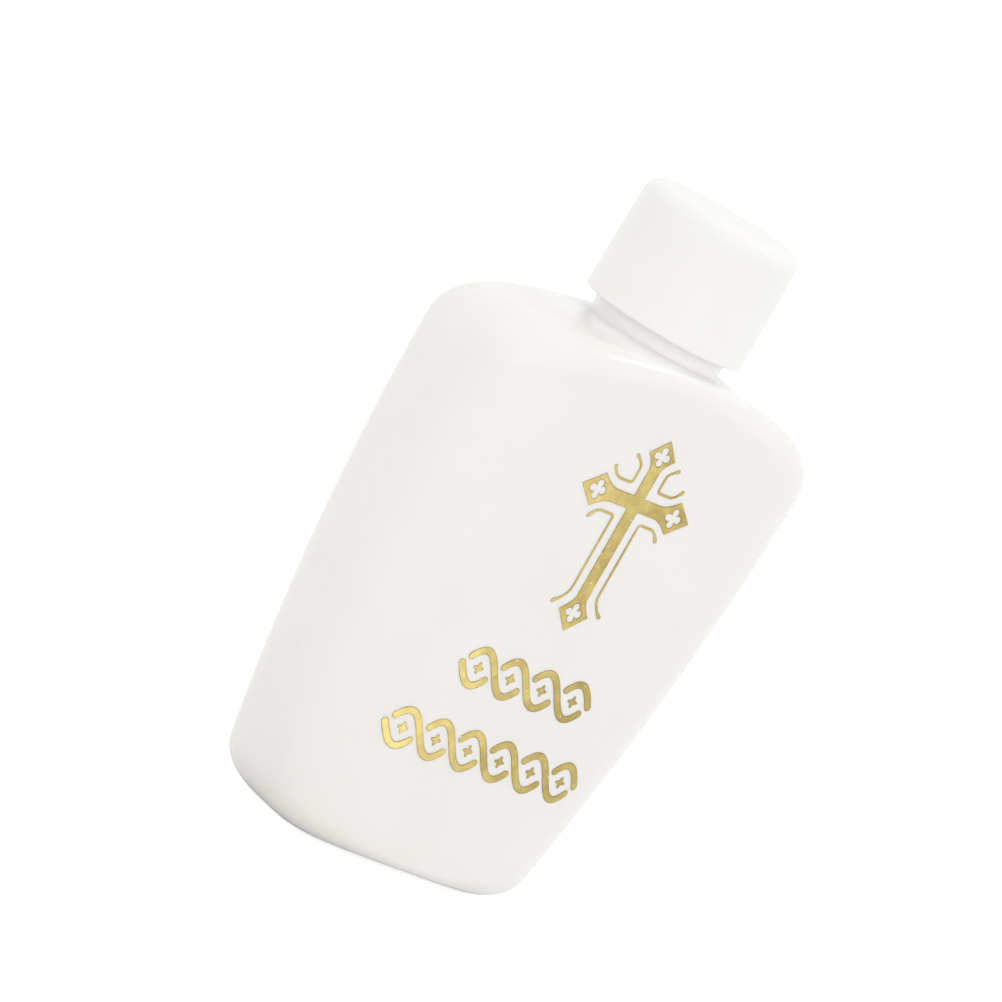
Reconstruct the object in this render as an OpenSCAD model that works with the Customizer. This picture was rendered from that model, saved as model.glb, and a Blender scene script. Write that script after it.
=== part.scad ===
// Small flat flask for blessed water: blown bottle, pour plug, lined screw cap and gold stamped foil.
// Millimetres. The base stands on z = 0, the neck is on the Z axis and the stamped front faces -Y.

/* [Bottle] */
// Height of the body from its base to the root of the neck
body_h = 68; // [60:0.5:90]
// Width of the body at its widest, under the shoulder
body_w = 55; // [46:0.5:70]
// Depth of the body from front to back
body_d = 22; // [20:0.5:32]
// Width that the sides sweep in to at the base, before its edge is rounded
base_w = 38.4; // [30:0.2:46]
// Distance of the widest place below the root of the neck
widest_drop = 6; // [4:0.5:20]
// Fullness of the level sections: 2 is an ellipse, larger is closer to a rectangle
fullness = 4; // [2.5:0.1:6]
// Wall thickness of the blown body
wall = 0.9; // [0.6:0.1:1.4]
// Height of the rounding around the base
base_round_up = 5; // [3:0.5:8]
// Inward reach of the rounding around the base
base_round_in = 5; // [2:0.5:5.5]
// Width of the flat ring that the bottle stands on
foot_land = 1.6; // [1:0.1:2.4]
// Depth of the dished middle of the base
dish = 0.8; // [0.3:0.1:1.5]
// Radius where the narrow ends turn over into the shoulder
side_round = 7; // [3:0.5:8]
// Radius where the front and back turn over into the shoulder
front_round = 2.1; // [1.2:0.1:2.4]
// Least radius of the shoulder's edge on the inner skin
least_turn = 0.2; // [0.1:0.05:0.5]
// Least width of the shoulder between its front edge and the seat of the neck
least_roof = 0.1; // [0.1:0.05:0.5]
// Fall of the shoulder for each millimetre away from the neck
shoulder_fall = 0.18; // [0.1:0.01:0.35]

/* [Neck] */
// Outside diameter of the plain neck, at the root of its thread
neck_d = 16; // [14:0.5:16.5]
// Bore of the neck
bore_d = 12.6; // [10:0.2:13]
// Length of neck that shows between the shoulder and the cap
neck_gap = 2; // [1:0.25:4]
// Outside diameter of the plain collar around the root of the neck
collar_d = 16.9; // [16.7:0.1:17.1]
// Height of the collar, which ends inside the cap
collar_h = 3; // [2:0.25:3.25]
// Concave rounding at the root of the collar
neck_round = 0.15; // [0.05:0.05:0.3]
// Flat seat around that rounding, on the shoulder
seat_land = 0.2; // [0.1:0.05:0.5]
// Depth of the neck's root in the wall of the shoulder
neck_sink = 0.3; // [0.1:0.05:0.4]
// Chamfer of the rim
rim_round = 0.3; // [0.1:0.1:0.5]

/* [Pour plug] */
// Diameter of the pouring hole
pour_d = 4.4; // [4:0.2:6]
// Diameter of the flange that sits on the rim of the neck
flange_d = 15.2; // [14:0.2:15.6]
// Thickness of the flange
flange_t = 1; // [0.6:0.1:1.6]
// Length of the barrel that is pressed into the neck
barrel_l = 7.5; // [4:0.5:10]
// Wall of the barrel
barrel_t = 1.1; // [0.7:0.1:1.6]
// Radial clearance of the barrel in the bore
plug_fit = 0.02; // [0.01:0.01:0.05]

/* [Screw cap] */
// Height of the cap
cap_h = 15; // [12:0.5:20]
// Thickness of the skirt at its lower edge
skirt_t = 1.25; // [0.9:0.05:2]
// Thickness of the top
cap_top_t = 1.4; // [1:0.1:2.4]
// Radius of the top edge
cap_round = 2.2; // [0.8:0.1:3]
// Radius of the lower edge
cap_lip = 0.35; // [0.1:0.05:0.5]
// Inward draft of the skirt over its height
cap_draft = 0.15; // [0:0.05:0.4]
// Room for the screw thread between the neck and the skirt
thread_room = 1; // [0.8:0.1:1.4]
// Thickness of the sealing liner
liner_t = 1; // [0.6:0.1:1.6]
// Radial clearance of the liner in the cap
liner_fit = 0.1; // [0.05:0.05:0.3]
// Clearance on each flat side of the liner
seal_gap = 0.05; // [0.02:0.01:0.1]

/* [Stamped foil] */
// Thickness of the foil
foil_t = 0.12; // [0.08:0.01:0.3]
// Width of the spare skin around each piece of artwork before it is trimmed
art_margin = 0.5; // [0.3:0.1:1]
// Clearance under the foil
foil_lift = 0.03; // [0.02:0.01:0.06]
// Lean of the stamped artwork to the left, in degrees
art_lean = 1.2; // [-3:0.1:3]
// Distance of the crossing of the arms below the root of the neck
cross_drop = 16.3; // [14:0.1:22]
// Shift of the cross to the right of the middle of the front
cross_shift = 0.3; // [-1:0.05:1]
// Length of the upper arm
cross_top = 8.35; // [7:0.05:9]
// Length of each side arm
cross_side = 8.9; // [7:0.05:11]
// Length of the lower arm
cross_foot = 17; // [13:0.05:18]
// Width of the arms
cross_bar = 1.75; // [1.2:0.05:2.2]
// Width of the kite at the end of the upper and side arms
kite_w = 4.35; // [3.8:0.05:5]
// Width of the kite at the foot
foot_kite_w = 4.75; // [3.8:0.05:5]
// Length of the pointed half of the upper kite
top_tip = 2.15; // [1.8:0.05:3]
// Length of the pointed half of the side kites
side_tip = 2.6; // [1.8:0.05:3]
// Length of the pointed half of the kite at the foot
foot_tip = 2.4; // [1.8:0.05:3]
// Length over which the upper arm widens into its kite
top_widening = 1.75; // [1:0.05:3]
// Length over which the side arms widen into their kites
side_widening = 2.6; // [1:0.05:3]
// Length over which the lower arm widens into its kite
foot_widening = 2.1; // [1:0.05:3]
// Radius of each lobe of the pierced floret
lobe_r = 0.48; // [0.25:0.02:0.5]
// Distance of the lobes from the middle of the floret
lobe_out = 0.74; // [0.5:0.02:0.8]
// Radius of the bend of an outline stroke, at its inner side
bend_r = 0.4; // [0.3:0.1:0.8]
// Distance from the middle of an arm to the outline beside it
outline_out = 2.15; // [1.9:0.05:2.4]
// Width of the outline strokes
outline_w = 0.36; // [0.3:0.02:0.6]
// Distance before a kite's corners at which the strokes beside the upper and side arms turn outward
flare_in = 2.2; // [1.5:0.1:3]
// The same distance for the strokes beside the lower arm
foot_flare_in = 3; // [1.5:0.1:4]
// Length and outward reach of the strokes' flare beside the side arms
side_flare = [1.5, 1.1];
// Length and outward reach of their flare beside the upper arm
top_flare = [1.35, 1.25];
// Length and outward reach of their flare beside the lower arm
foot_flare = [2.45, 1.7];
// Distance of the upper twist below the crossing of the arms
upper_drop = 24.6; // [22:0.1:26]
// Distance of the lower twist below the upper one
twist_pitch = 9.7; // [8:0.1:10]
// Length of one eye of the twists
eye_l = 5.2; // [4:0.1:6]
// Height of the twists between the middles of their strands
eye_h = 4.6; // [3:0.1:5]
// Width of a strand
strand_w = 0.95; // [0.6:0.05:1.2]
// Width of the lozenge inside an eye
lozenge_w = 1.5; // [0.8:0.1:2]
// Number of eyes in the upper twist
upper_eyes = 4; // [2:1:4]
// Number of eyes in the lower twist
lower_eyes = 6; // [2:1:6]

/* [Hidden] */
$fn = 96;

milky = [0.93, 0.93, 0.91];
white = [0.96, 0.96, 0.95];
foam = [0.98, 0.98, 0.97];
gold = [0.80, 0.68, 0.36];

// Points around each level section and steps along its height
around = 56;
base_steps = 6;
wall_steps = 12;
turn_steps = 6;
roof_stops = [0.3, 0.6, 0.85, 1];
// Steps of a rounded edge, of a flare and of half a wave of a strand
arc_steps = 6;
flare_steps = 5;
wave_steps = 8;
// Power of the hollow curve along which an arm widens
widening_power = 1.6;

half_d = body_d / 2;
widest_z = body_h - widest_drop;
neck_r = neck_d / 2;
bore_r = bore_d / 2;
collar_r = collar_d / 2;
foot_r = collar_r + neck_round;
root_r = foot_r + seat_land;
throat_r = (bore_r + neck_r) / 2;
front_turn = min(front_round, half_d - root_r - least_roof);

cap_z = body_h + neck_gap;
top_z = cap_z + cap_h;
cap_in_z = top_z - cap_top_t;
liner_z = cap_in_z - seal_gap - liner_t;
flange_z = liner_z - seal_gap - flange_t;
cap_in_r = neck_r + thread_room;
cap_r = cap_in_r + skirt_t;

cross_z = body_h - cross_drop;
upper_z = cross_z - upper_drop;
lower_z = upper_z - twist_pitch;

// Level section of the body: a superellipse at angle q with half sizes a and b
function section(q, a, b) =
    let (m = pow(pow(abs(cos(q)), fullness) + pow(abs(sin(q)), fullness), 1 / fullness))
    [a * cos(q) / m, b * sin(q) / m];

// Half width of the body at height z: the sides sweep in to the base
function half_w(z) = body_w / 2 - (body_w - base_w) / 2 * pow(max(0, 1 - z / widest_z), 2);

// Height of the shoulder over the point p
function roof(p) = body_h - shoulder_fall * max(0, norm(p) - root_r);

// Radius of the shoulder's edge: large at the narrow ends, small along the front and back
function turn(q) = front_turn + (side_round - front_turn) * pow(cos(q), 2);

function lift_to(p, z) = [p[0], p[1], z];

// Ring of the dished base, drawn in from the foot by d
function dish_ring(d, z, t) =
    let (a = half_w(0) - base_round_in - d, b = half_d - base_round_in - d)
    [for (i = [0:around - 1]) lift_to(section(360 * i / around, a, b), z + t)];

// Ring of the rounded base edge, at angle h of the rounding
function base_ring(h, t) =
    let (z = t + (base_round_up - t) * (1 - cos(h)), d = t + (base_round_in - t) * (1 - sin(h)))
    [for (i = [0:around - 1]) lift_to(section(360 * i / around, half_w(z) - d, half_d - d), z)];

// Ring of the side wall, at fraction f of the way from the base edge to the shoulder's edge
function wall_ring(f, t) =
    [for (i = [0:around - 1])
        let (q = 360 * i / around,
             top = roof(section(q, body_w / 2 - t, half_d - t)) - turn(q),
             z = base_round_up + (top - base_round_up) * f)
        lift_to(section(q, half_w(z) - t, half_d - t), z)];

// Point of the shoulder's edge at angle h of its rounding
function turn_point(q, h, t) =
    let (r = max(turn(q) - t, least_turn),
         d = t + r * (1 - cos(h)),
         p = section(q, body_w / 2 - d, half_d - d))
    lift_to(p, roof(p) - t - r * (1 - sin(h)));

function turn_ring(h, t) = [for (i = [0:around - 1]) turn_point(360 * i / around, h, t)];

// Ring of the shoulder, at fraction f of the way from its edge to the neck
function roof_ring(f, t, end_r) =
    [for (i = [0:around - 1])
        let (e = turn_point(360 * i / around, 90, t),
             from = [e[0], e[1]],
             p = from + (from / norm(from) * end_r - from) * f)
        lift_to(p, roof(p) - t * (1 - pow(f, 8)))];

// Rings of one skin of the body, a depth t inside the outer skin, from the base to the neck
function skin(t, end_r) = concat(
    [dish_ring(foot_land + dish, dish, t), dish_ring(foot_land, 0, t)],
    [for (k = [0:base_steps]) base_ring(90 * k / base_steps, t)],
    [for (k = [1:wall_steps]) wall_ring(k / wall_steps, t)],
    [for (k = [1:turn_steps]) turn_ring(90 * k / turn_steps, t)],
    [for (f = roof_stops) roof_ring(f, t, end_r)]);

// Closed faces over a run of rings with a point before the first and after the last
function ring_faces(rings) =
    let (n = around, last = rings * n + 1)
    concat(
        [for (i = [0:n - 1]) [0, 1 + i, 1 + (i + 1) % n]],
        [for (k = [0:rings - 2], i = [0:n - 1])
            let (a = 1 + k * n, j = (i + 1) % n)
            each [[a + i, a + n + i, a + j], [a + j, a + n + i, a + n + j]]],
        [for (i = [0:n - 1]) [last, last - n + (i + 1) % n, last - n + i]]);

function reversed(list) = [for (i = [len(list) - 1:-1:0]) list[i]];

function arc(c, r, from, to) =
    [for (i = [0:arc_steps]) let (h = from + (to - from) * i / arc_steps) c + r * [cos(h), sin(h)]];

module bottle_body() {
    rings = concat(skin(0, root_r), reversed(skin(wall, throat_r)));
    points = concat([[0, 0, dish]], [for (ring = rings) each ring], [[0, 0, dish + wall]]);
    color(milky) union() {
        polyhedron(points, ring_faces(len(rings)));
        rotate_extrude() polygon(concat(
            [[bore_r, body_h - neck_sink], [foot_r, body_h - neck_sink]],
            arc([foot_r, body_h + neck_round], neck_round, 270, 180),
            [[collar_r, body_h + collar_h + neck_r - collar_r], [neck_r, body_h + collar_h],
             [neck_r, flange_z - rim_round], [neck_r - rim_round, flange_z], [bore_r, flange_z]]));
    }
}

module pour_plug() {
    barrel_r = bore_r - plug_fit;
    barrel_z = flange_z - barrel_l;
    lead_in = barrel_t / 3;
    color(milky) rotate_extrude() polygon([
        [pour_d / 2, flange_z], [barrel_r - barrel_t, flange_z], [barrel_r - barrel_t, barrel_z],
        [barrel_r - lead_in, barrel_z], [barrel_r, barrel_z + lead_in], [barrel_r, flange_z],
        [flange_d / 2, flange_z], [flange_d / 2, flange_z + flange_t], [pour_d / 2, flange_z + flange_t]]);
}

module cap_liner() {
    color(foam) translate([0, 0, liner_z]) cylinder(h = liner_t, r = cap_in_r - liner_fit);
}

module screw_cap() {
    lip_r = cap_r - cap_lip;
    round_r = cap_r - cap_draft - cap_round;
    color(white) rotate_extrude() polygon(concat(
        [[0, cap_in_z], [cap_in_r, cap_in_z], [cap_in_r, cap_z]],
        arc([lip_r, cap_z + cap_lip], cap_lip, 270, 360),
        arc([round_r, top_z - cap_round], cap_round, 0, 90),
        [[0, top_z]]));
}

// Point on the crowned front of the body, proud of it by d
function front(x, z, d) =
    [x, -half_d * pow(1 - pow(abs(x) / half_w(z), fullness), 1 / fullness) - d, z];

// Thin skin over the front, from -reach to reach across and from low to high
module front_skin(reach, low, high) {
    cols = 12;
    rows = 4;
    row = cols + 1;
    sheet = row * (rows + 1);
    depths = [foil_lift, foil_lift + foil_t];
    points = [for (d = depths, k = [0:rows], i = [0:cols])
        front(reach * (2 * i / cols - 1), low + (high - low) * k / rows, d)];
    edge = concat([for (i = [0:cols - 1]) i], [for (k = [0:rows - 1]) k * row + cols],
                  [for (i = [cols:-1:1]) rows * row + i], [for (k = [rows:-1:1]) k * row]);
    polyhedron(points, concat(
        [for (k = [0:rows - 1], i = [0:cols - 1])
            let (a = k * row + i)
            each [[a, a + 1, a + row], [a + 1, a + row + 1, a + row]]],
        [for (k = [0:rows - 1], i = [0:cols - 1])
            let (a = sheet + k * row + i)
            each [[a, a + row, a + 1], [a + 1, a + row, a + row + 1]]],
        [for (i = [0:len(edge) - 1])
            let (a = edge[i], b = edge[(i + 1) % len(edge)])
            each [[a, a + sheet, b], [b, a + sheet, b + sheet]]]));
}

// Flat artwork laid over the front, with its middle at x and z; its reach and height leave room for the lean
module stamp(x, z, reach, low, high) {
    across = abs(x) + reach + max(high, -low) * abs(sin(art_lean)) + art_margin;
    rise = reach * abs(sin(art_lean)) + art_margin;
    intersection() {
        translate([x, 0, z]) rotate([90, 0, 0]) rotate(art_lean) linear_extrude(height = body_d) children();
        front_skin(across, z + low - rise, z + high + rise);
    }
}

// Kites of the cross as length of the arm, half width, pointed length and widening, anticlockwise from the right
side_arm = [cross_side, kite_w / 2, side_tip, side_widening];
top_arm = [cross_top, kite_w / 2, top_tip, top_widening];
foot_arm = [cross_foot, foot_kite_w / 2, foot_tip, foot_widening];
arms = [side_arm, top_arm, side_arm, foot_arm];

function kite_middle(a) = a[0] - a[2];

// Outline of one arm along +X: it widens from the bar in a hollow curve and ends in the kite's point
function arm(a) =
    let (side = [for (k = [0:flare_steps])
            let (f = k / flare_steps)
            [kite_middle(a) - a[3] * (1 - f), cross_bar / 2 + (a[1] - cross_bar / 2) * pow(f, widening_power)]])
    concat([for (p = side) [p[0], -p[1]]], [[a[0], 0]], reversed(side));

function spun(points, a) = [for (p = points) [p[0] * cos(a) - p[1] * sin(a), p[0] * sin(a) + p[1] * cos(a)]];

module floret() {
    circle(r = lobe_r);
    for (a = [0:90:270]) rotate(a) translate([lobe_out, 0]) circle(r = lobe_r);
}

module cross_art() {
    corner = cross_bar / 2 * [1, 1];
    difference() {
        polygon([for (k = [0:3]) each concat(spun(arm(arms[k]), 90 * k), spun([corner], 90 * k))]);
        for (k = [0:3]) rotate(90 * k) translate([kite_middle(arms[k]), 0]) floret();
    }
}

module foil_cross() {
    color(gold) stamp(cross_shift, cross_z, cross_side, -cross_foot, cross_top) cross_art();
}

// Ribbon of width w along a run of points
function ribbon_side(points, w) =
    [for (i = [0:len(points) - 1])
        let (u = points[min(i + 1, len(points) - 1)] - points[max(i - 1, 0)])
        points[i] + w / 2 * [-u[1], u[0]] / norm(u)];

module ribbon(points, w) {
    polygon(concat(ribbon_side(points, w), reversed(ribbon_side(points, -w))));
}

// Flared end of an outline stroke, along an arm, that starts at s and ends at e
function flared(s, e) =
    [for (k = [0:flare_steps])
        let (f = k / flare_steps)
        [s[0] + (e[0] - s[0]) * f, s[1] + (e[1] - s[1]) * f * f]];

function swapped(points) = [for (p = points) [p[1], p[0]]];

// Outline stroke in one corner of the cross, from the end beside an upright arm to the end beside a side arm
function corner_stroke(upright, reach) =
    let (from = [upright, outline_out],
         to = [kite_middle(side_arm) - flare_in, outline_out])
    concat(
        swapped(reversed(flared(from, from + reach))),
        arc((outline_out + bend_r) * [1, 1], bend_r, 180, 270),
        flared(to, to + side_flare));

module outline_art() {
    top_stroke = corner_stroke(kite_middle(top_arm) - flare_in, top_flare);
    foot_stroke = corner_stroke(kite_middle(foot_arm) - foot_flare_in, foot_flare);
    for (side = [0, 1]) mirror([side, 0]) {
        ribbon(top_stroke, outline_w);
        mirror([0, 1]) ribbon(foot_stroke, outline_w);
    }
}

module foil_outline() {
    color(gold) stamp(cross_shift, cross_z, cross_side, -cross_foot, cross_top) outline_art();
}

// Two strands that cross between the eyes, with a lozenge in each eye
module twist_art(eyes) {
    steps = eyes * wave_steps;
    for (side = [-1, 1])
        ribbon([for (k = [0:steps])
            [eye_l * eyes * (k / steps - 0.5), side * eye_h / 2 * sin(180 * k / wave_steps)]], strand_w);
    for (k = [0:eyes - 1]) translate([eye_l * (k - (eyes - 1) / 2), 0]) circle(d = lozenge_w, $fn = 4);
}

module foil_twist(eyes, z) {
    half_h = (eye_h + strand_w) / 2;
    color(gold) stamp(0, z, eye_l * eyes / 2, -half_h, half_h) twist_art(eyes);
}

module foil_upper_twist() { foil_twist(upper_eyes, upper_z); }

module foil_lower_twist() { foil_twist(lower_eyes, lower_z); }

bottle_body();
pour_plug();
cap_liner();
screw_cap();
foil_cross();
foil_outline();
foil_upper_twist();
foil_lower_twist();
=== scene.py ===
# %% [markdown]
# # A small flask for blessed water
#
# The real thing is a flat bottle of milky blown plastic with a plain white screw cap, and a cross stamped on its
# front in gold foil. The CAD model gives every size. This lesson loads it as a fixed frame and then makes a finer
# visible model around it: smooth walls, screw threads, a plug, a liner and thin foil, each with its own finish.
# Sizes of the flask are written in millimetres, and mm turns them into Blender's metres. The floor and the lamps
# around it are written in metres.

# %% Open the CAD frame
import math
import bpy
import bmesh
from mathutils import Matrix, Vector
from mathutils.geometry import delaunay_2d_cdt


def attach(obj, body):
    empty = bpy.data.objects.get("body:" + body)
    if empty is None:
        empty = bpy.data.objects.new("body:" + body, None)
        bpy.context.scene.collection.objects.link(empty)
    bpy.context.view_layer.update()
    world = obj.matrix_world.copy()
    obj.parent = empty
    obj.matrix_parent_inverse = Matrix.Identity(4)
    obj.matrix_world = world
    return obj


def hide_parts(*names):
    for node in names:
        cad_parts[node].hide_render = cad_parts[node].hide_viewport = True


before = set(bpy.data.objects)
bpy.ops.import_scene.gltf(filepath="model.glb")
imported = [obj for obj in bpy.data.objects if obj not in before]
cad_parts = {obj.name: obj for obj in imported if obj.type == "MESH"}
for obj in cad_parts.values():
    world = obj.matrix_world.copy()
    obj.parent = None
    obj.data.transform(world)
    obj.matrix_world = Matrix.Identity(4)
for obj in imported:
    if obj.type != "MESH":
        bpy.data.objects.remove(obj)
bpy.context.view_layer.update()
mm = 0.001

# %% [markdown]
# ## The camera
#
# A camera could be placed by eye, but here its direction, distance and lens were worked out from the outline of the
# bottle in the photograph. It looks at the front from the left and slightly from above, with a long lens, and it is
# turned about its own axis, so that the bottle leans to the right in the picture.

# %% Place the camera
middle = Vector((0, 0, 42.5)) * mm
from_left, from_above, lean = math.radians(42.879), math.radians(8.279), math.radians(30.529)
camera_far, aim_left, aim_up = 691.14, 5.834, 0.417
sensor, lens = 36, 213.83
back = Vector((-math.sin(from_left) * math.cos(from_above),
               -math.cos(from_left) * math.cos(from_above), math.sin(from_above)))
stand = middle + back * camera_far * mm


def picture_axes(forward, turn):
    """Right and up in a picture that is taken along forward by a camera turned about that line."""
    right = forward.cross(Vector((0, 0, 1))).normalized()
    up = right.cross(forward)
    return (right * math.cos(turn) + up * math.sin(turn), up * math.cos(turn) - right * math.sin(turn))


def put(name, data):
    """A new object with this data, put into the scene."""
    thing = bpy.data.objects.new(name, data)
    bpy.context.scene.collection.objects.link(thing)
    return thing


level_right, level_up = picture_axes(-back, 0.0)
aim = middle - level_right * aim_left * mm + level_up * aim_up * mm
forward = (aim - stand).normalized()
right, up = picture_axes(forward, lean)

camera_data = bpy.data.cameras.new("camera")
camera_data.sensor_width, camera_data.lens = sensor, lens
camera_data.clip_start, camera_data.clip_end = 0.01, 50
camera = put("camera", camera_data)
camera.matrix_world = Matrix((
    (right.x, up.x, -forward.x, stand.x), (right.y, up.y, -forward.y, stand.y),
    (right.z, up.z, -forward.z, stand.z), (0, 0, 0, 1)))
bpy.context.scene.camera = camera
print("camera stands", round(stand.length / mm), "mm from the origin")

# %% [markdown]
# ## The form of the flask
#
# Blowing plastic into a mould gives soft, full sections. Every level section here is a superellipse, which is a
# rectangle with very full corners. Short functions say how wide it is at each height, how the shoulder falls from
# the neck, how large the rounded edge between them is at each place around, and how the wall turns under at the base.

# %% Formulas of the flask
body_h, half_wide, half_deep, base_half = 68.0, 27.49, 11.0, 19.2
widest_z, fullness, wall = 62.0, 4.0, 0.9
neck_r, collar_r, bore_r, rim_z, roof_fall = 8.0, 8.45, 6.3, 81.5, 0.18
foot_front, foot_more = 0.35, 0.6
root_r = collar_r + foot_front
edge_front, edge_end = 2.1, 7.0
base_round, base_front_in, base_front_low, base_front_high = 5.0, 1.4, 0.85, 2.1


def section(q, a, b):
    """The point at angle q of a level section with half width a and half depth b."""
    c, s = math.cos(q), math.sin(q)
    m = (abs(c) ** fullness + abs(s) ** fullness) ** (1 / fullness)
    return a * c / m, b * s / m


def half_width(z):
    return half_wide - (half_wide - base_half) * max(0.0, 1 - z / widest_z) ** 2


def roof(x, y):
    return body_h - roof_fall * max(0.0, math.hypot(x, y) - root_r)


def edge_round(q):
    return edge_front + (edge_end - edge_front) * math.cos(q) ** 2


def base_edge(q):
    """How far the base's rounded edge reaches in, and from where to where it rises: tight along the front."""
    tight = math.sin(q) ** 4
    return (base_round - (base_round - base_front_in) * tight, base_front_low * tight,
            base_round - (base_round - base_front_high) * tight)


print("half width at the base and half way up:", round(half_width(0), 2), round(half_width(body_h / 2), 2))

# %% [markdown]
# ## One skin of rings
#
# The bottle could be made by hand with a subdivided cage, but a run of rings is exact: each ring goes once around
# the flask, and the next ring is joined to it with quads. The same function gives the outer skin and, a wall's
# thickness further in, the inner one. The ring points stand closer together along the wide front and back. A few more
# are added at the two narrow ends, where the halves of the mould met and left a fine raised line.

# %% Rings of one skin
around_steps, closer = 192, 0.22
even = [2 * math.pi * i / around_steps for i in range(around_steps)]
spread = [t + closer * math.sin(2 * t) for t in even]
crowd = [math.radians(a) for a in (-0.7, -0.35, 0.35, 0.7)]
around = sorted(spread + [c % (2 * math.pi) for c in crowd] + [math.pi + c for c in crowd])
seam_high, seam_half = 0.015, 0.5
dish_high, dish_edge = 0.8, 1.6
# How far inside the foot of the rounded edge, and how high above the floor.
dish = ((2.6, dish_high), (2.2, 0.74), (1.9, 0.45), (1.7, 0.1), (1.5, 0.0), (0.7, 0.0))
roof_fade = 8


def seam(q):
    off = abs(math.degrees(math.asin(math.sin(q))))
    return seam_high if off < seam_half else 0.0


def skin(depth, base_steps, wall_steps, edge_steps, roof_steps, ends, outer):
    """Rings from the dish in the base up to the neck, depth inside the form; only the outer skin has the seam."""
    rings = []

    def proud(q):
        return seam(q) if outer else 0.0

    def inset(q):
        return depth - proud(q)

    for d, z in dish:
        ring = []
        for q in around:
            x, y = section(q, base_half - base_round - d, half_deep - base_round - d)
            ring.append((x, y, z + depth - proud(q) * (d > dish_edge)))
        rings.append(ring)
    for k in range(base_steps + 1):
        h = math.pi / 2 * k / base_steps
        ring = []
        for q in around:
            reach, edge_low, edge_high = base_edge(q)
            z = depth + edge_low + (edge_high - edge_low - depth) * (1 - math.cos(h))
            d = (reach - depth) * (1 - math.sin(h))
            ring.append((*section(q, half_width(z) - inset(q) - d, half_deep - inset(q) - d), z))
        rings.append(ring)
    for k in range(1, wall_steps + 1):
        ring = []
        for q in around:
            top = roof(*section(q, half_wide - depth, half_deep - depth)) - edge_round(q)
            foot = base_edge(q)[2]
            z = foot + (top - foot) * k / wall_steps
            ring.append((*section(q, half_width(z) - inset(q), half_deep - inset(q)), z))
        rings.append(ring)
    for k in range(1, edge_steps + 1):
        h = math.pi / 2 * k / edge_steps
        ring = []
        for q in around:
            r = edge_round(q) - depth
            d = inset(q) + r * (1 - math.cos(h))
            x, y = section(q, half_wide - d, half_deep - d)
            ring.append((x, y, roof(x, y) - depth - r * (1 - math.sin(h))))
        rings.append(ring)
    last = rings[-1]
    for k in range(1, roof_steps + 1):
        f = k / roof_steps
        ring = []
        for (x, y, z), end in zip(last, ends):
            s = 1 + (end / math.hypot(x, y) - 1) * f
            ring.append((x * s, y * s, roof(x * s, y * s) - depth * (1 if outer else 1 - f ** roof_fade)))
        rings.append(ring)
    return rings


foot_round = [foot_front + foot_more * math.cos(q) ** 2 for q in around]
outer_skin = skin(seam_high, base_steps=16, wall_steps=60, edge_steps=16, roof_steps=14,
                  ends=[collar_r + f for f in foot_round], outer=True)
inner_skin = skin(wall, base_steps=8, wall_steps=24, edge_steps=8, roof_steps=8,
                  ends=[bore_r for q in around], outer=False)
print("rings outside and inside:", len(outer_skin), len(inner_skin))

# %% [markdown]
# ## The neck and its screw thread
#
# A thread is a ridge that climbs a fixed height with each turn. It could be a separate swept tube, but then it would
# only be stuck on. Here it is raised from the rings of the neck themselves, with ends that fade out as on a moulded
# neck. The ridge climbs 3.175 mm a turn, which is also how far the cap rises for each turn in the motion model. Below
# the thread a plain collar, a little wider than the neck, shows under the edge of the cap.

# %% A climbing ridge
pitch, thread_z, thread_high = 3.175, 72.3, 0.75
thread_fade, flank = 0.12, 0.6


def smooth(x):
    x = min(1.0, max(0.0, x))
    return x * x * (3 - 2 * x)


def ridge(q, z, start_z, turns, foot):
    """Height from 0 to 1 of a climbing ridge at angle q and height z; foot is half its width at the root."""
    best = 0.0
    for k in range(int(turns) + 2):
        turn = q / (2 * math.pi) + k
        if 0 <= turn <= turns:
            off = abs(z - start_z - pitch * turn)
            ends = smooth(turn / thread_fade) * smooth((turns - turn) / thread_fade)
            best = max(best, smooth((foot - off) / (flank * foot)) * ends)
    return best


print("the ridge climbs", pitch, "mm a turn")

# %% [markdown]
# ## Rings of the neck
#
# The rings go on from the shoulder: a small hollow rounding at the collar's foot, the collar and the thread, the
# rounded rim, and the bore down inside. Every point of the neck faces the same way as the shoulder point below it.
# Turned even a little against each other, the rings would be joined by twisted quads, and those show as dark dashes.

# %% Raise the neck
neck_turns, neck_ridge_half = 2.3, 0.85
collar_top, collar_step = 71.0, 0.5
rim_outside, rim_inside, bore_low = 0.3, 0.2, 68.4
foot_steps, neck_steps, bore_steps = 8, 105, 10
outside_steps, inside_steps = 5, 4
facing = [math.atan2(y, x) % (2 * math.pi) for x, y, _ in outer_skin[-1]]


def circle_ring(r, z):
    return [(r * math.cos(q), r * math.sin(q), z) for q in facing]


neck_rings = []
roof_tilt = math.atan(roof_fall)
for k in range(1, foot_steps + 1):
    h = roof_tilt + (math.pi / 2 - roof_tilt) * k / foot_steps
    ring = []
    for q, f, (_, _, foot_z) in zip(facing, foot_round, outer_skin[-1]):
        bend = f / (1 - math.sin(roof_tilt))
        r = collar_r + bend * (1 - math.sin(h))
        ring.append((r * math.cos(q), r * math.sin(q), foot_z + bend * (math.cos(roof_tilt) - math.cos(h))))
    neck_rings.append(ring)
collar_foot, lip_z = neck_rings[-1], rim_z - rim_outside
for k in range(1, neck_steps + 1):
    ring = []
    for q, (_, _, foot_z) in zip(facing, collar_foot):
        z = foot_z + (lip_z - foot_z) * k / neck_steps
        r = (neck_r + (collar_r - neck_r) * smooth((collar_top - z) / collar_step)
             + thread_high * ridge(q, z, thread_z, neck_turns, neck_ridge_half))
        ring.append((r * math.cos(q), r * math.sin(q), z))
    neck_rings.append(ring)
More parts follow.
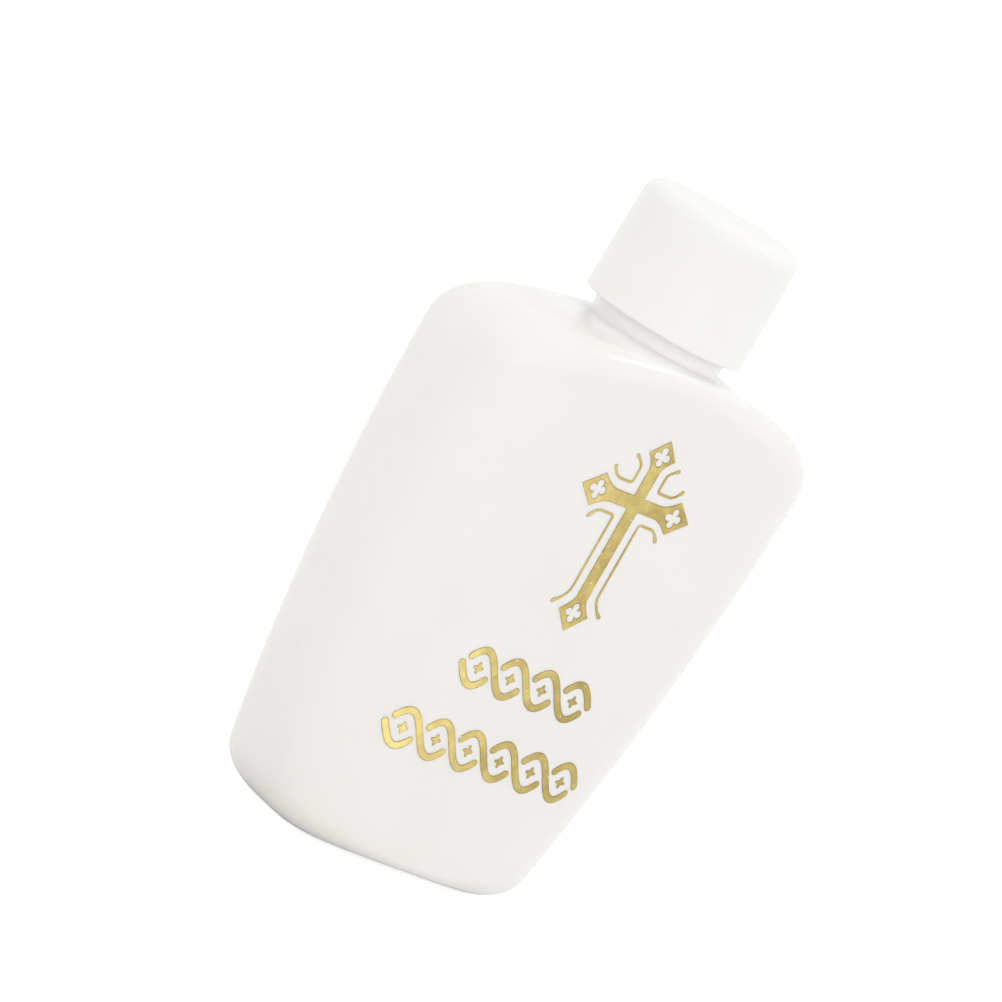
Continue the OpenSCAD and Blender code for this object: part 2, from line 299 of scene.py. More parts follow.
for k in range(1, outside_steps + 1):
    h = math.pi / 2 * k / outside_steps
    neck_rings.append(circle_ring(neck_r - rim_outside * (1 - math.cos(h)), lip_z + rim_outside * math.sin(h)))
for k in range(inside_steps + 1):
    h = math.pi / 2 * k / inside_steps
    neck_rings.append(circle_ring(bore_r + rim_inside * (1 - math.sin(h)), rim_z - rim_inside * (1 - math.cos(h))))
mouth_z = rim_z - rim_inside
for k in range(1, bore_steps + 1):
    neck_rings.append(circle_ring(bore_r, mouth_z - (mouth_z - bore_low) * k / bore_steps))
print("rings of the neck:", len(neck_rings))

# %% [markdown]
# ## Closing the rings into a mesh
#
# The outer skin, the neck and the inner skin are one run of rings, so the bottle is a single closed wall with a
# mouth, as the blown one is. A point closes the run at each end: one under the dished base and one on the floor
# inside.

# %% Close the bottle


def new_piece(name, points, faces):
    """A smooth mesh object from points in millimetres."""
    mesh = bpy.data.meshes.new(name)
    mesh.from_pydata([tuple(c * mm for c in p) for p in points], [], faces)
    mesh.shade_smooth()
    return put(name, mesh)


def close_rings(name, rings, first, last):
    n = len(rings[0])
    points = [first] + [p for ring in rings for p in ring] + [last]
    faces = [(0, 1 + (i + 1) % n, 1 + i) for i in range(n)]
    for k in range(len(rings) - 1):
        a = 1 + k * n
        faces += [(a + i, a + (i + 1) % n, a + n + (i + 1) % n, a + n + i) for i in range(n)]
    end, a = len(points) - 1, 1 + (len(rings) - 1) * n
    faces += [(a + i, a + (i + 1) % n, end) for i in range(n)]
    return new_piece(name, points, faces)


flask = close_rings("flask", outer_skin + neck_rings + inner_skin[::-1],
                    (0, 0, dish_high + seam_high), (0, 0, dish_high + wall))
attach(flask, "bottle")
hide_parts("bottle_body")
print("flask faces:", len(flask.data.polygons))

# %% [markdown]
# ## Turned pieces
#
# The plug in the mouth, the liner in the cap and the cap itself are all round, so each is a profile that is turned
# about the neck's axis. A Screw modifier could turn it, but points from a function let the cap's skirt carry its own
# thread inside. Short arcs round every edge, because no moulded edge is truly sharp.

# %% Turn a profile


def arc(cx, cz, r, start, end, steps):
    return [(cx + r * math.cos(math.radians(start + (end - start) * k / steps)),
             cz + r * math.sin(math.radians(start + (end - start) * k / steps))) for k in range(steps + 1)]


def corner(r, z, size, start, end, steps):
    """The arc that rounds the corner at radius r and height z, from one angle in degrees to another."""
    half_way = math.radians((start + end) / 2)
    return arc(r - math.copysign(size, math.cos(half_way)), z - math.copysign(size, math.sin(half_way)),
               size, start, end, steps)


def turned(name, profile, raise_by=None, steps=160):
    """A closed loop of (radius, height) points, turned about Z; points on the axis become one vertex each."""
    points, rows, faces = [], [], []
    for r, z in profile:
        if r < 1e-6:
            rows.append([len(points)] * steps)
            points.append((0, 0, z))
            continue
        rows.append(list(range(len(points), len(points) + steps)))
        for i in range(steps):
            q = 2 * math.pi * i / steps
            reach = r + (raise_by(q, r, z) if raise_by else 0.0)
            points.append((reach * math.cos(q), reach * math.sin(q), z))
    for a, b in zip(rows, rows[1:] + rows[:1]):
        for i in range(steps):
            j = (i + 1) % steps
            face = []
            for v in (a[i], a[j], b[j], b[i]):
                if v not in face:
                    face.append(v)
            if len(face) > 2:
                faces.append(face)
    return new_piece(name, points, faces)


print("points in a quarter of an edge:", len(corner(1, 1, 0.2, 0, 90, 4)))

# %% [markdown]
# ## Plug and liner
#
# The plug is pressed into the mouth: a thin barrel, a flange that lies on the rim, and a small hole to pour from.
# The liner is a flat round wad above it. The plug's flange has pressed a shallow groove into the liner's face.

# %% Turn the plug and the liner
hole_r, barrel_in, barrel_out, flange_r = 2.2, 5.18, 6.28, 7.6
plug_low, flange_under, flange_top = 74.0, 81.5, 82.5
tip_r, tip_z, flat_from = 5.9, 74.4, 3.4
plug_profile = (corner(hole_r, flange_under, 0.2, 180, 270, 4)
                + corner(barrel_in, flange_under, 0.3, 90, 0, 4)
                + corner(barrel_in, plug_low, 0.15, 180, 270, 3)
                + [(tip_r, plug_low), (barrel_out, tip_z), (barrel_out, flange_under)]
                + corner(flange_r, flange_under, 0.25, 270, 360, 4)
                + corner(flange_r, flange_top, 0.35, 0, 90, 5)
                + [(flat_from, flange_top)] + corner(hole_r, flange_top, 0.4, 90, 180, 5))
plug = turned("plug", plug_profile)
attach(plug, "bottle")
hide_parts("pour_plug")

liner_r, liner_low, liner_top = 8.9, 82.55, 83.55
groove_from, groove_to, groove_side, groove_z = 6.1, 7.7, 0.2, 82.62
liner_profile = ([(0, liner_low), (groove_from, liner_low), (groove_from + groove_side, groove_z),
                  (groove_to - groove_side, groove_z), (groove_to, liner_low)]
                 + corner(liner_r, liner_low, 0.2, 270, 360, 4)
                 + corner(liner_r, liner_top, 0.35, 0, 90, 4) + [(0, liner_top)])
liner = turned("liner", liner_profile)
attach(liner, "liner")
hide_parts("cap_liner")
print("plug and liner faces:", len(plug.data.polygons), len(liner.data.polygons))

# %% [markdown]
# ## The cap
#
# The cap is a plain smooth cup with a soft top edge, and its skirt narrows very slightly towards the top, so that it
# comes out of its mould. Its inside carries the matching thread, half a step above the neck's, and its top has the
# small mark that the injection point leaves.

# %% Turn the cap
cap_in, cap_roof, roof_round = 9.0, 83.6, 0.5
cap_foot_r, cap_top_r, cap_top, top_round = 10.25, 10.1, 85.0, 2.2
lip_round, lip_centre, thread_low = 0.35, 70.35, 70.9
cap_turns, cap_ridge_half = 1.3, 0.75
skirt_steps, draft_steps = 100, 12


def cap_thread(q, r, z):
    if abs(r - cap_in) > 1e-6:
        return 0.0
    return -thread_high * ridge(q, z, thread_z + pitch / 2, cap_turns, cap_ridge_half)


def between(a, b, share):
    return a + (b - a) * share


skirt_inside = [(cap_in, between(cap_roof - roof_round, thread_low, k / skirt_steps))
                for k in range(1, skirt_steps + 1)]
skirt_outside = [(between(cap_foot_r, cap_top_r, k / draft_steps),
                  between(lip_centre, cap_top - top_round, k / draft_steps)) for k in range(1, draft_steps)]
lead_in = [(9.15, 70.45), (9.3, 70.2)]
sunk_top = [(7.2, 84.99), (6.0, 84.95), (4.0, 84.9)]
injection_mark = [(1.4, 84.88), (1.25, 84.83), (1.0, 84.8), (0.6, 84.8), (0.45, 84.86), (0.3, 84.9), (0, 84.91)]
cap_profile = ([(0, cap_roof)] + corner(cap_in, cap_roof, roof_round, 90, 0, 6) + skirt_inside + lead_in
               + arc(cap_foot_r - lip_round, lip_centre, lip_round, 240, 360, 7) + skirt_outside
               + corner(cap_top_r, cap_top, top_round, 0, 90, 18) + sunk_top + injection_mark)
cap = turned("cap", cap_profile, cap_thread)
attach(cap, "cap")
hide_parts("screw_cap")
print("cap faces:", len(cap.data.polygons))

# %% [markdown]
# ## Which side of a line is gold
#
# Each piece of artwork is drawn flat, as closed outlines. Lines inside one another make holes, so a point is in the
# gold where an odd number of outlines surround it. A second line just inside the first marks the rim, where the die
# pressed the foil down.

# %% Measure the artwork
probe, least_rim, free_share, shrink = 0.02, 0.01, 0.6, 0.7


def inside(p, loop):
    hit = False
    for (x0, y0), (x1, y1) in zip(loop, loop[1:] + loop[:1]):
        if (y0 > p[1]) != (y1 > p[1]) and p[0] < (x1 - x0) * (p[1] - y0) / (y1 - y0) + x0:
            hit = not hit
    return hit


def in_gold(p, loops):
    return sum(inside(p, loop) for loop in loops) % 2 == 1


def room(p, loops):
    """Distance from a point to the nearest side of any loop."""
    best = math.inf
    for loop in loops:
        for (x0, y0), (x1, y1) in zip(loop, loop[1:] + loop[:1]):
            dx, dy = x1 - x0, y1 - y0
            t = ((p[0] - x0) * dx + (p[1] - y0) * dy) / (dx * dx + dy * dy)
            t = min(1.0, max(0.0, t))
            best = min(best, math.hypot(p[0] - x0 - t * dx, p[1] - y0 - t * dy))
    return best


def pressed_line(loop, loops, wide):
    """The loop moved into the gold by the width of the rim, or by less where there is little room."""
    moved = []
    for (x0, y0), (x, y), (x1, y1) in zip(loop[-1:] + loop[:-1], loop, loop[1:] + loop[:1]):
        d = math.hypot(x1 - x0, y1 - y0)
        nx, ny = (y0 - y1) / d, (x1 - x0) / d
        w = wide if in_gold((x + nx * probe, y + ny * probe), loops) else -wide
        while abs(w) > least_rim and room((x + nx * w, y + ny * w), loops) < free_share * abs(w):
            w *= shrink
        moved.append((x + nx * w, y + ny * w))
    return moved


print("narrowest rim:", least_rim, "mm")

# %% [markdown]
# ## Foil on a curved front
#
# Hot stamping leaves a film of gold that follows the plastic exactly. The artwork is filled with triangles, and then
# every point is moved onto the crowned front of the flask. The film gets a thin edge and a softened rim, and the rim
# is marked in an attribute, so that painted shade can darken the gold there. The die stood a little crooked on this
# flask, so all the artwork leans by the same small angle.

# %% Lay artwork on the front
film_high, rim_high, film_root = 0.05, 0.02, -0.08
grid_start = (0.37, 0.61)
lean_art = math.radians(1.2)


def front(x, z, proud):
    return (x, -half_deep * (1 - (abs(x) / half_width(z)) ** fullness) ** (1 / fullness) - proud, z)


def foil(name, loops, centre, node, rim_wide=0.15, grid=0.7):
    points, edges = [], []
    on_rim = sum(len(loop) for loop in loops)
    for loop in loops + [pressed_line(loop, loops, rim_wide) for loop in loops]:
        a = len(points)
        points += [Vector(p) for p in loop]
        edges += [(a + i, a + (i + 1) % len(loop)) for i in range(len(loop))]
    low = [min(p[k] for p in points) for k in (0, 1)]
    high = [max(p[k] for p in points) for k in (0, 1)]
    for i in range(int((high[0] - low[0]) / grid) + 1):
        for j in range(int((high[1] - low[1]) / grid) + 1):
            spot = Vector((low[0] + (i + grid_start[0]) * grid, low[1] + (j + grid_start[1]) * grid))
            if room(spot, loops) > 2 * rim_wide:
                points.append(spot)
    flat, _, triangles, sources, *_ = delaunay_2d_cdt(points, edges, [], 0, 1e-5)
    film = bmesh.new()
    mark = film.verts.layers.float.new("rim")
    corners = {}
    for t in triangles:
        if not in_gold([sum(flat[v][k] for v in t) / 3 for k in (0, 1)], loops):
            continue
        for v in t:
            if v not in corners:
                edge = any(i < on_rim for i in sources[v])
                corners[v] = film.verts.new((*flat[v], rim_high if edge else film_high))
                corners[v][mark] = 1.0 if edge else 0.0
        film.faces.new([corners[v] for v in t])
    top = film.faces[:]
    rim = [e for e in film.edges if len(e.link_faces) == 1]
    under = {v: film.verts.new((v.co.x, v.co.y, film_root)) for v in film.verts[:]}
    for f in top:
        film.faces.new([under[v] for v in reversed(f.verts)])
    for e in rim:
        loop = e.link_loops[0]
        a, b = loop.vert, loop.link_loop_next.vert
        film.faces.new((b, a, under[a], under[b]))
    for v in film.verts:
        x = centre[0] + v.co.x * math.cos(lean_art) - v.co.y * math.sin(lean_art)
        z = centre[1] + v.co.x * math.sin(lean_art) + v.co.y * math.cos(lean_art)
        v.co = Vector(front(x, z, v.co.z)) * mm
    bmesh.ops.recalc_face_normals(film, faces=film.faces[:])
    mesh = bpy.data.meshes.new(name)
    film.to_mesh(mesh)
    film.free()
    piece = put(name, mesh)
    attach(piece, "bottle")
    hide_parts(node)
    print(name, "faces:", len(mesh.polygons))
    return piece


# %% [markdown]
# ## The cross
#
# It is a plain Latin cross whose arms flare into kites, each pierced by a small flower of four petals. One function
# draws an arm from its length, half the width of its kite, the length of its point and the length of its flare, and
# the result is turned into the four directions. A flower is the outline of four round lobes around a fifth.

# %% Draw and stamp the cross
cross_at, bar = (0.3, 51.7), 0.875
side_arm, top_arm, foot_arm = (8.9, 2.175, 2.6, 2.6), (8.35, 2.175, 2.15, 1.75), (17.0, 2.375, 2.4, 2.1)
arms = [side_arm, top_arm, side_arm, foot_arm]
arm_steps, arm_curve = 10, 1.6
lobe_r, lobe_out, lobe_steps = 0.48, 0.74, 72


def spin(points, quarter):
    c, s = ((1, 0), (0, 1), (-1, 0), (0, -1))[quarter % 4]
    return [(x * c - y * s, x * s + y * c) for x, y in points]


def arm(length, half, tip, flare):
    side = [(length - tip - flare * (1 - k / arm_steps), bar + (half - bar) * (k / arm_steps) ** arm_curve)
            for k in range(arm_steps + 1)]
    return [(x, -y) for x, y in side] + [(length, 0)] + side[::-1]


def flower(cx, cy):
    loop = []
    for k in range(lobe_steps):
        a = 2 * math.pi * k / lobe_steps
        off = abs((a + math.pi / 4) % (math.pi / 2) - math.pi / 4)
        rest = lobe_r ** 2 - (lobe_out * math.sin(off)) ** 2
        r = lobe_out * math.cos(off) + math.sqrt(rest) if rest > 0 else lobe_r
        loop.append((cx + r * math.cos(a), cy + r * math.sin(a)))
    return loop


cross_loops = [[p for k in range(4) for p in spin(arm(*arms[k]) + [(bar, bar)], k)]]
for k in range(4):
    (cx, cy), = spin([(arms[k][0] - arms[k][2], 0)], k)
    cross_loops.append(flower(cx, cy))
foil_cross = foil("foil_cross_film", cross_loops, cross_at, "foil_cross")

# %% [markdown]
# ## Strokes around the cross
#
# Four thin strokes repeat the outline of the cross at a small distance, one in each corner. A stroke is a ribbon
# along a path, with a round end that is a little thicker, as a pen leaves it.

# %% Draw a ribbon
end_steps = 7


def ribbon(path, width):
    """A closed loop around a path, with round ends; width is a function of the share of the way along."""
    lengths = [0.0]
    for a, b in zip(path, path[1:]):
        lengths.append(lengths[-1] + math.dist(a, b))
    left, right_side, ends = [], [], []
    for i, (x, y) in enumerate(path):
        x0, y0 = path[max(i - 1, 0)]
        x1, y1 = path[min(i + 1, len(path) - 1)]
        d = math.hypot(x1 - x0, y1 - y0)
        w = width(lengths[i] / lengths[-1]) / 2
        nx, ny = -(y1 - y0) / d * w, (x1 - x0) / d * w
        left.append((x + nx, y + ny))
        right_side.append((x - nx, y - ny))
        ends.append((math.atan2(y1 - y0, x1 - x0), w))

    def round_end(i, turn):
        a, w = ends[i]
        return [(path[i][0] + w * math.cos(a + turn - math.pi * k / end_steps),
                 path[i][1] + w * math.sin(a + turn - math.pi * k / end_steps)) for k in range(1, end_steps)]

    return left + round_end(-1, math.pi / 2) + right_side[::-1] + round_end(0, -math.pi / 2)


print("points around a straight ribbon:", len(ribbon([(0, 0), (1, 0)], lambda share: 0.3)))

# %% [markdown]
# ## The four strokes
#
# A stroke runs down beside the upright, turns through a small bend and goes out beside the arm, and both its ends
# flare away as the kites do. Only one upper and one lower stroke are drawn. The other two are their mirror images.

# %% Draw and stamp the outline strokes
stroke_out, stroke_bend, bend_steps, flare_steps = 2.15, 0.4, 6, 8
before_kite, before_foot = 2.2, 3.0
side_reach, top_reach, foot_reach = (1.5, 1.1), (1.35, 1.25), (2.45, 1.7)
pen_wide, pen_more, pen_end = 0.32, 0.2, 0.07


def flare(s, e):
    return [(s[0] + (e[0] - s[0]) * k / flare_steps, s[1] + (e[1] - s[1]) * (k / flare_steps) ** 2)
            for k in range(flare_steps + 1)]


def reached(straight, reach):
    return flare((straight, stroke_out), (straight + reach[0], stroke_out + reach[1]))


def corner_path(straight, reach):
    upright = [(y, x) for x, y in reached(straight, reach)][::-1]
    turn = arc(stroke_out + stroke_bend, stroke_out + stroke_bend, stroke_bend, 180, 270, bend_steps)
    return upright + turn + reached(side_arm[0] - side_arm[2] - before_kite, side_reach)


def pen(share):
    return pen_wide + pen_more * (smooth((pen_end - share) / pen_end) + smooth((share - (1 - pen_end)) / pen_end))


upper_stroke = ribbon(corner_path(top_arm[0] - top_arm[2] - before_kite, top_reach), pen)
lower_stroke = ribbon(corner_path(foot_arm[0] - foot_arm[2] - before_foot, foot_reach), pen)
strokes = [[(sx * x, y) for x, y in upper_stroke] for sx in (1, -1)]
strokes += [[(sx * x, -y) for x, y in lower_stroke] for sx in (1, -1)]
foil_outline = foil("foil_outline_film", strokes, cross_at, "foil_outline", rim_wide=0.08)

# %% [markdown]
# ## Two twists
#
# Below the cross run two bands of a very old border: two strands that twist around each other, with a lozenge in
# each eye. At every crossing one strand stays whole and the other stops short on both sides of it, which is how a
# flat print shows that it passes beneath.

# %% Draw and stamp the twists
eye_l, eye_h, strand_w, gap = 5.2, 4.6, 0.95, 0.2
strand_steps, end_share = 16, 0.9
lozenge_r, lozenge_waist, lozenge_steps, waist_early = 0.8, 0.42, 24, 1.05
upper_eyes, upper_at = 4, (0, 27.1)
lower_eyes, lower_at = 6, (0, 17.4)


def strand(eyes, sign, a, b):
    steps = max(6, round((b - a) * strand_steps))
    return [(eye_l * (t - eyes / 2), sign * eye_h / 2 * math.sin(math.pi * t))
            for t in (a + (b - a) * k / steps for k in range(steps + 1))]


def lozenge(cx):
    star = []
    for i in range(lozenge_steps):
        a = 2 * math.pi * i / lozenge_steps
        off = abs((math.degrees(a) + 45) % 90 - 45) / 45
        r = lozenge_r - lozenge_waist * smooth(off * waist_early)
        star.append((cx + r * math.cos(a), r * math.sin(a)))
    return star


def twist(eyes):
    steep = math.pi * eye_h / 2 / eye_l
    clear = (strand_w / 2 + gap) / math.sin(2 * math.atan(steep)) / math.hypot(1, steep) / eye_l
    short = clear + strand_w / 2 / eye_l * end_share
    loops = []
    for sign, first in ((1, 0), (-1, 1)):
        under = [k for k in range(eyes + 1) if k % 2 == first]
        cuts = sorted(set([0] + under + [eyes]))
        for a, b in zip(cuts, cuts[1:]):
            start = a + (short if a in under else 0)
            end = b - (short if b in under else 0)
            loops.append(ribbon(strand(eyes, sign, start, end), lambda share: strand_w))
    return loops + [lozenge(eye_l * (k - (eyes - 1) / 2)) for k in range(eyes)]


foil_upper = foil("foil_upper_film", twist(upper_eyes), upper_at, "foil_upper_twist")
foil_lower = foil("foil_lower_film", twist(lower_eyes), lower_at, "foil_lower_twist")

# %% [markdown]
# ## Nodes for materials
#
# A material is a small network of nodes. The same few turn up in each one here: a noise, a blend of two colours, a
# change of range and a bump. Each gets a short function, so that a material then reads like a recipe.

# %% Helpers for materials


def new_material(name):
    material = bpy.data.materials.new(name)
    material.use_nodes = True
    return material, material.node_tree, material.node_tree.nodes["Principled BSDF"]


def object_place(tree):
    return tree.nodes.new("ShaderNodeTexCoord").outputs["Object"]


def place_along(tree, axis):
    axes = tree.nodes.new("ShaderNodeSeparateXYZ")
    tree.links.new(object_place(tree), axes.inputs["Vector"])
    return axes.outputs[axis]


def noise_at(tree, scale, detail=2.0, rough=0.5):
    noise = tree.nodes.new("ShaderNodeTexNoise")
    noise.inputs["Scale"].default_value = scale
    noise.inputs["Detail"].default_value = detail
    noise.inputs["Roughness"].default_value = rough
    tree.links.new(object_place(tree), noise.inputs["Vector"])
    return noise.outputs["Fac"]


def blend_colours(tree, fac, low, high, start=0.35, end=0.65):
    ramp = tree.nodes.new("ShaderNodeValToRGB")
    for stop, place, colour in zip(ramp.color_ramp.elements, (start, end), (low, high)):
        stop.position = place
        stop.color = (*colour, 1)
    tree.links.new(fac, ramp.inputs["Fac"])
    return ramp.outputs["Color"]


def map_range(tree, value, low, high, start=0.3, end=0.7):
    node = tree.nodes.new("ShaderNodeMapRange")
    node.inputs["From Min"].default_value = start
    node.inputs["From Max"].default_value = end
    node.inputs["To Min"].default_value = low
    node.inputs["To Max"].default_value = high
    tree.links.new(value, node.inputs["Value"])
    return node.outputs["Result"]


def mix_colours(tree, fac, from_colour, to):
    node = tree.nodes.new("ShaderNodeMix")
    node.data_type = "RGBA"
    tree.links.new(fac, node.inputs["Factor"])
    tree.links.new(from_colour, node.inputs["A"])
    node.inputs["B"].default_value = (*to, 1)
    return node.outputs["Result"]


def bump(tree, height, strength, distance, before=None):
    node = tree.nodes.new("ShaderNodeBump")
    node.inputs["Strength"].default_value = strength
    node.inputs["Distance"].default_value = distance
    tree.links.new(height, node.inputs["Height"])
    if before:
        tree.links.new(before, node.inputs["Normal"])
    return node.outputs["Normal"]


print("materials that came with the frame:", len(bpy.data.materials))

# %% [markdown]
# ## Milky plastic
#
# Natural polythene lets light in and scatters it, so it is never a flat white. Subsurface scattering does that here.
# Slow noise makes the wall a little uneven, as blown walls are, and fine noise gives the soft skin that a mould
# leaves, so the gloss breaks up slightly. The neck is thicker than the wall, so it is whiter and lets less light in.
# Its whiter colour is also partly painted light: it starts a little below the neck, on the shoulder around the
# collar, and lifts the shade that the cap casts there.

# %% Plastics for the flask, the cap and the plug
patch_scale, gloss_scale, wave_scale, grain_scale = 70, 900, 160, 5200
wave_deep, grain_deep, scatter_deep = 0.4 * mm, 0.04 * mm, 2.5 * mm
plastic_ior, scatter_tint, neck_white_and_painted_light = 1.5, (1.0, 0.95, 0.85), (0.98, 0.972, 0.955)
# Where the whiter neck colour starts and how far it fades in; it starts on the shoulder, as painted light against the
# shade under the cap.
neck_white_from, neck_white_over = 66.7 * mm, 0.8 * mm


def moulded_plastic(name, low, high, shine, scatter, wave, grain, whiter_neck=False):
    material, tree, shader = new_material(name)
    colour = blend_colours(tree, noise_at(tree, patch_scale), low, high)
    if whiter_neck:
        # The whiter neck colour is partly the thicker plastic and partly painted light that lifts the shade under the
        # cap.
        neck_white_share = map_range(tree, place_along(tree, "Z"), 0.0, 1.0, neck_white_from, neck_white_from + neck_white_over)
        colour = mix_colours(tree, neck_white_share, colour, neck_white_and_painted_light)
        tree.links.new(map_range(tree, neck_white_share, scatter, 0.0, 0.0, 1.0), shader.inputs["Subsurface Weight"])
    else:
        shader.inputs["Subsurface Weight"].default_value = scatter
    tree.links.new(colour, shader.inputs["Base Color"])
    tree.links.new(map_range(tree, noise_at(tree, gloss_scale, detail=3), *shine), shader.inputs["Roughness"])
    slow = bump(tree, noise_at(tree, wave_scale, detail=1), wave, wave_deep)
    fine = bump(tree, noise_at(tree, grain_scale, detail=2), grain, grain_deep, slow)
    tree.links.new(fine, shader.inputs["Normal"])
    shader.inputs["IOR"].default_value = plastic_ior
    shader.inputs["Subsurface Radius"].default_value = scatter_tint
    shader.inputs["Subsurface Scale"].default_value = scatter_deep
    return material


milky = moulded_plastic("milky_polythene", (0.92, 0.897, 0.85), (0.945, 0.922, 0.88), shine=(0.20, 0.24),
                        scatter=0.22, wave=0.06, grain=0.01, whiter_neck=True)
white = moulded_plastic("cap_plastic", (0.925, 0.911, 0.87), (0.94, 0.928, 0.89), shine=(0.30, 0.38),
                        scatter=0.15, wave=0.03, grain=0.01)
natural = moulded_plastic("plug_polythene", (0.94, 0.928, 0.90), (0.96, 0.95, 0.925), shine=(0.30, 0.42),
                          scatter=0.08, wave=0.06, grain=0.08)
flask.data.materials.append(milky)
cap.data.materials.append(white)
plug.data.materials.append(natural)
print("plastics:", milky.name, white.name, natural.name)

# %% [markdown]
# ## Foam wad
#
# The liner is cut from foamed sheet, so its face shows tiny closed cells. A fine Voronoi pattern dents the surface
# and darkens the walls between the cells by very little.

# %% Foam for the liner
cell_scale, cell_dent, cell_deep = 3200, 0.4, 0.08 * mm
cell_pale, cell_dark = (0.93, 0.93, 0.92), (0.86, 0.86, 0.85)
foam, foam_tree, foam_shader = new_material("liner_foam")
cells = foam_tree.nodes.new("ShaderNodeTexVoronoi")
cells.inputs["Scale"].default_value = cell_scale
foam_tree.links.new(object_place(foam_tree), cells.inputs["Vector"])
from_middle = cells.outputs["Distance"]
foam_tree.links.new(blend_colours(foam_tree, from_middle, cell_pale, cell_dark, start=0.1, end=0.8),
                    foam_shader.inputs["Base Color"])
foam_tree.links.new(bump(foam_tree, from_middle, cell_dent, cell_deep), foam_shader.inputs["Normal"])
foam_tree.links.new(map_range(foam_tree, noise_at(foam_tree, scale=600), low=0.55, high=0.75),
                    foam_shader.inputs["Roughness"])
liner.data.materials.append(foam)
print("foam:", foam.name)

# %% [markdown]
# ## Gold foil
#
# The foil is a real metal film, so the shader is metallic. Its colour carries a painted sheen: it is painted brighter
# on the left and darker to the right, as the light falls across the front, and it also changes softly in random
# patches. It has painted shade along its rim, it is darker in a few scuffs, and tiny bare specks let the plastic show
# through. Noise gives the soft patches, the scuffs and the specks, the place across the front gives the painted
# sheen, and the gloss follows the tone.

# %% Gold for the foil
deep_gold, bright_gold = (0.375, 0.285, 0.092), (1.0, 0.82, 0.33)
rim_shade_gold, scuff_gold, bare_spot = (0.27, 0.19, 0.055), (0.30, 0.215, 0.07), (0.88, 0.84, 0.72)
sheen_bright_x, sheen_dark_x, least_tone = -18 * mm, 12 * mm, 0.30
gold, gold_tree, gold_shader = new_material("gold_foil")


def combine(tree, operation, a, b):
    node = tree.nodes.new("ShaderNodeMath")
    node.operation = operation
    tree.links.new(a, node.inputs[0])
    tree.links.new(b, node.inputs[1])
    return node.outputs[0]


def gold_noise(scale, detail, rough, low, high, start=0.3, end=0.7):
    return map_range(gold_tree, noise_at(gold_tree, scale, detail, rough), low, high, start, end)


# Painted sheen: the gold is painted brighter to the left and darker to the right, as light falls across the front.
sheen_fall = map_range(gold_tree, place_along(gold_tree, "X"), 1.0, 0.0, sheen_bright_x, sheen_dark_x)
painted_sheen = map_range(gold_tree, combine(gold_tree, "MULTIPLY", sheen_fall, sheen_fall), least_tone, 1.0, 0.0, 1.0)
clouds = gold_noise(scale=420, detail=4, rough=0.6, low=-0.16, high=0.16)
painted_sheen_and_patches = combine(gold_tree, "ADD", clouds, painted_sheen)
film_colour = blend_colours(gold_tree, painted_sheen_and_patches, deep_gold, bright_gold, start=0.1, end=1.0)
# Painted shade along the foil's rim: the marked rim is mixed towards a darker gold, in patches.
rim_mark = gold_tree.nodes.new("ShaderNodeAttribute")
rim_mark.attribute_name = "rim"
painted_rim_shade = map_range(gold_tree, rim_mark.outputs["Fac"], low=0.0, high=0.85, start=0.0, end=0.6)
rim_shade_patches = gold_noise(scale=620, detail=3, rough=0.6, low=0.25, high=1.0)
film_colour = mix_colours(gold_tree, combine(gold_tree, "MULTIPLY", painted_rim_shade, rim_shade_patches), film_colour, rim_shade_gold)
scuffs = gold_noise(scale=760, detail=5, rough=0.7, low=0.0, high=0.6, start=0.64, end=0.74)
film_colour = mix_colours(gold_tree, scuffs, film_colour, scuff_gold)
specks = gold_noise(scale=2600, detail=3, rough=0.65, low=0.0, high=1.0, start=0.66, end=0.70)
film_colour = mix_colours(gold_tree, specks, film_colour, bare_spot)
pressed = bump(gold_tree, noise_at(gold_tree, scale=1500, detail=3), strength=0.25, distance=0.06 * mm)
gold_tree.links.new(film_colour, gold_shader.inputs["Base Color"])
gold_tree.links.new(map_range(gold_tree, specks, 1.0, 0.0, 0.0, 1.0), gold_shader.inputs["Metallic"])
gold_tree.links.new(map_range(gold_tree, painted_sheen_and_patches, low=0.38, high=0.24), gold_shader.inputs["Roughness"])
gold_tree.links.new(pressed, gold_shader.inputs["Normal"])
for piece in (foil_cross, foil_outline, foil_upper, foil_lower):
    piece.data.materials.append(gold)
print("foil:", gold.name)

# %% [markdown]
# ## The floor
#
# The flask stands on a plain white floor. The floor glows for the camera, and less for reflections, so that it is
# white in both and still takes the shadow. The glow lights nothing else.

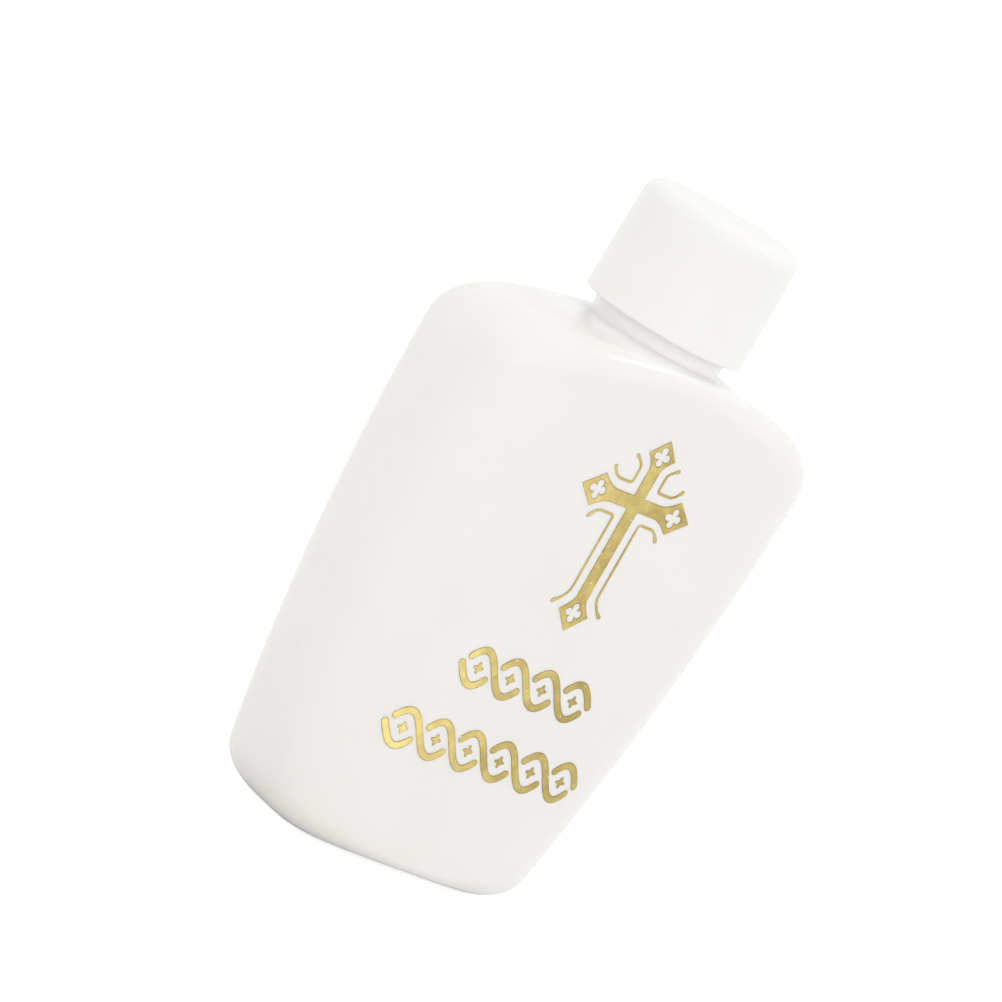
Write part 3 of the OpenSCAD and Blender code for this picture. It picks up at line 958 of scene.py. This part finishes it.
# %% Lay the floor
floor_half, paper_tone, paper_rough = 6, 0.82, 0.9
glow_seen, glow_reflected = 0.8, 0.26
floor_mesh = bpy.data.meshes.new("floor")
floor_mesh.from_pydata([(x * floor_half, y * floor_half, 0) for x, y in ((-1, -1), (1, -1), (1, 1), (-1, 1))],
                       [], [(0, 1, 2, 3)])
floor = put("floor", floor_mesh)


def seen_strength(tree, seen, reflected):
    """A strength for camera rays, another for reflected and transmitted rays, and nothing for the rest."""
    path = tree.nodes.new("ShaderNodeLightPath")
    total = None
    for name, strength in (("Is Camera Ray", seen), ("Is Glossy Ray", reflected),
                           ("Is Transmission Ray", reflected)):
        part = tree.nodes.new("ShaderNodeMath")
        part.operation = "MULTIPLY_ADD"
        tree.links.new(path.outputs[name], part.inputs[0])
        part.inputs[1].default_value = strength
        part.inputs[2].default_value = 0.0
        if total:
            tree.links.new(total, part.inputs[2])
        total = part.outputs[0]
    return total


paper, paper_tree, paper_shader = new_material("white_paper")
paper_shader.inputs["Roughness"].default_value = paper_rough
paper_shader.inputs["Specular IOR Level"].default_value = 0.0
paper_shader.inputs["Base Color"].default_value = (paper_tone, paper_tone, paper_tone, 1)
paper_shader.inputs["Emission Color"].default_value = (1, 1, 1, 1)
paper_tree.links.new(seen_strength(paper_tree, glow_seen, glow_reflected), paper_shader.inputs["Emission Strength"])
floor.data.materials.append(paper)
print("floor is", round(floor.dimensions.x, 1), "m wide")

# %% [markdown]
# ## The light
#
# White plastic on white only reads because of small steps of tone. So the surrounding light is even, and one large
# soft lamp from the front and a smaller one from above give the form.

# %% Set the light
lamp_aim = (0, 0, 0.045)
scene = bpy.context.scene
world = bpy.data.worlds.new("studio")
scene.world = world
world.use_nodes = True
sky = world.node_tree.nodes["Background"]
sky.inputs["Color"].default_value = (1, 1, 1, 1)
sky.inputs["Strength"].default_value = 1.0


def soft_lamp(name, place, size, power):
    data = bpy.data.lights.new(name, "AREA")
    data.shape = "SQUARE"
    data.size = size
    data.energy = power
    lamp = put(name, data)
    lamp.location = place
    lamp.rotation_euler = (Vector(lamp_aim) - Vector(place)).to_track_quat("-Z", "Y").to_euler()


soft_lamp("front", place=(-0.35, -0.95, 0.35), size=0.7, power=0.7)
soft_lamp("above", place=(0.47, -0.16, 0.87), size=0.13, power=0.32)
scene.view_settings.view_transform = "Standard"
